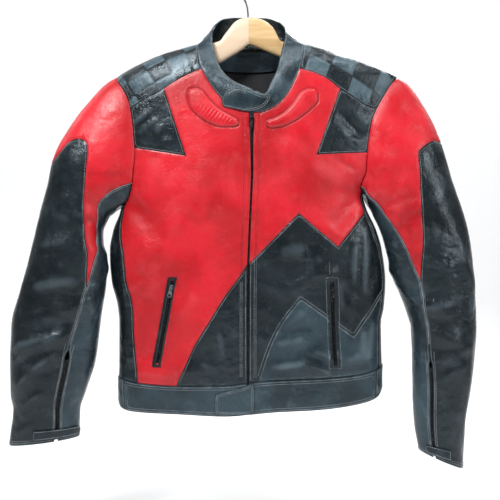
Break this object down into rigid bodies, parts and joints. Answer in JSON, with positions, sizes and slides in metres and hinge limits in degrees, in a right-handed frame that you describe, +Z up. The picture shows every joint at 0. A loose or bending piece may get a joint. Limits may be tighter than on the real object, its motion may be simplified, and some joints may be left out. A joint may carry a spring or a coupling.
{
  "type": "leather jacket on a hanger",
  "caption": "Hip-length leather motorcycle jacket in red and black panels, with a front zip, hanging open at neck, hem and cuffs on a wooden hanger.",
  "frame": {"origin": "the hook's inner top bearing point, where the hanger hangs on a rail", "axes": "+Z up, the jacket's front faces -Y, +X to the right as seen from the front (the wearer's left)"},
  "size_m": [0.835, 0.12, 0.8833],
  "materials": {
    "red_leather": "semi-gloss, fine grain",
    "black_leather": "semi-gloss, aged",
    "slate_leather": "semi-gloss, worn blue-grey",
    "check_leather": "squares of two greys",
    "lining": "matt woven",
    "zip_tape": "woven tape with dark teeth",
    "dark_metal": "dark, worn",
    "steel": "plated",
    "wood": "clear lacquer"
  },
  "bodies": {
    "jacket": {"front_left_red": "red_leather", "front_right_red": "red_leather", "sleeve_left_red": "red_leather", "sleeve_right_red": "red_leather", "chest_pad_left": "red_leather", "chest_pad_right": "red_leather", "insert_left": "black_leather", "insert_right": "black_leather", "front_left_black": "black_leather", "front_right_black": "black_leather", "side_left": "black_leather", "side_right": "black_leather", "back": "black_leather", "sleeve_left_outer": "black_leather", "sleeve_right_outer": "black_leather", "cuff_strap_left": "black_leather", "cuff_strap_right": "black_leather", "front_right_grey": "slate_leather", "collar_band": "slate_leather", "collar_tab": "slate_leather", "band_left": "slate_leather", "band_back": "slate_leather", "band_right": "slate_leather", "band_tab": "slate_leather", "sleeve_left_under": "slate_leather", "sleeve_right_under": "slate_leather", "neck_facing": "slate_leather", "yoke_left": "check_leather", "yoke_right": "check_leather", "back_lining": "lining", "hang_loop": "lining", "front_zip": "zip_tape", "cuff_zip_left": "zip_tape", "cuff_zip_right": "zip_tape", "pocket_zip_left": "zip_tape", "pocket_zip_right": "zip_tape", "front_slider": "dark_metal", "pocket_right_slider": "dark_metal", "hanger_hook": "steel", "pocket_left_slider": "steel", "hanger_wood": "wood"},
    "front_pull": {"front_pull": "dark_metal"},
    "pocket_left_pull": {"pocket_left_pull": "steel"},
    "pocket_right_pull": {"pocket_right_pull": "dark_metal"}
  },
  "joints": [
    {"name": "front_pull_hinge", "type": "hinge", "parent": "jacket", "child": "front_pull", "pos_m": [0.0057, -0.06218, -0.25986], "axis": [-1, -0.0011, 0], "range_deg": [0, 150]},
    {"name": "pocket_left_pull_hinge", "type": "hinge", "parent": "jacket", "child": "pocket_left_pull", "pos_m": [-0.13463, -0.05672, -0.55618], "axis": [-0.9758, 0.111, 0.1884], "range_deg": [0, 150]},
    {"name": "pocket_right_pull_hinge", "type": "hinge", "parent": "jacket", "child": "pocket_right_pull", "pos_m": [0.147, -0.05509, -0.55915], "axis": [-0.9893, -0.1401, -0.0415], "range_deg": [0, 150]}
  ]
}
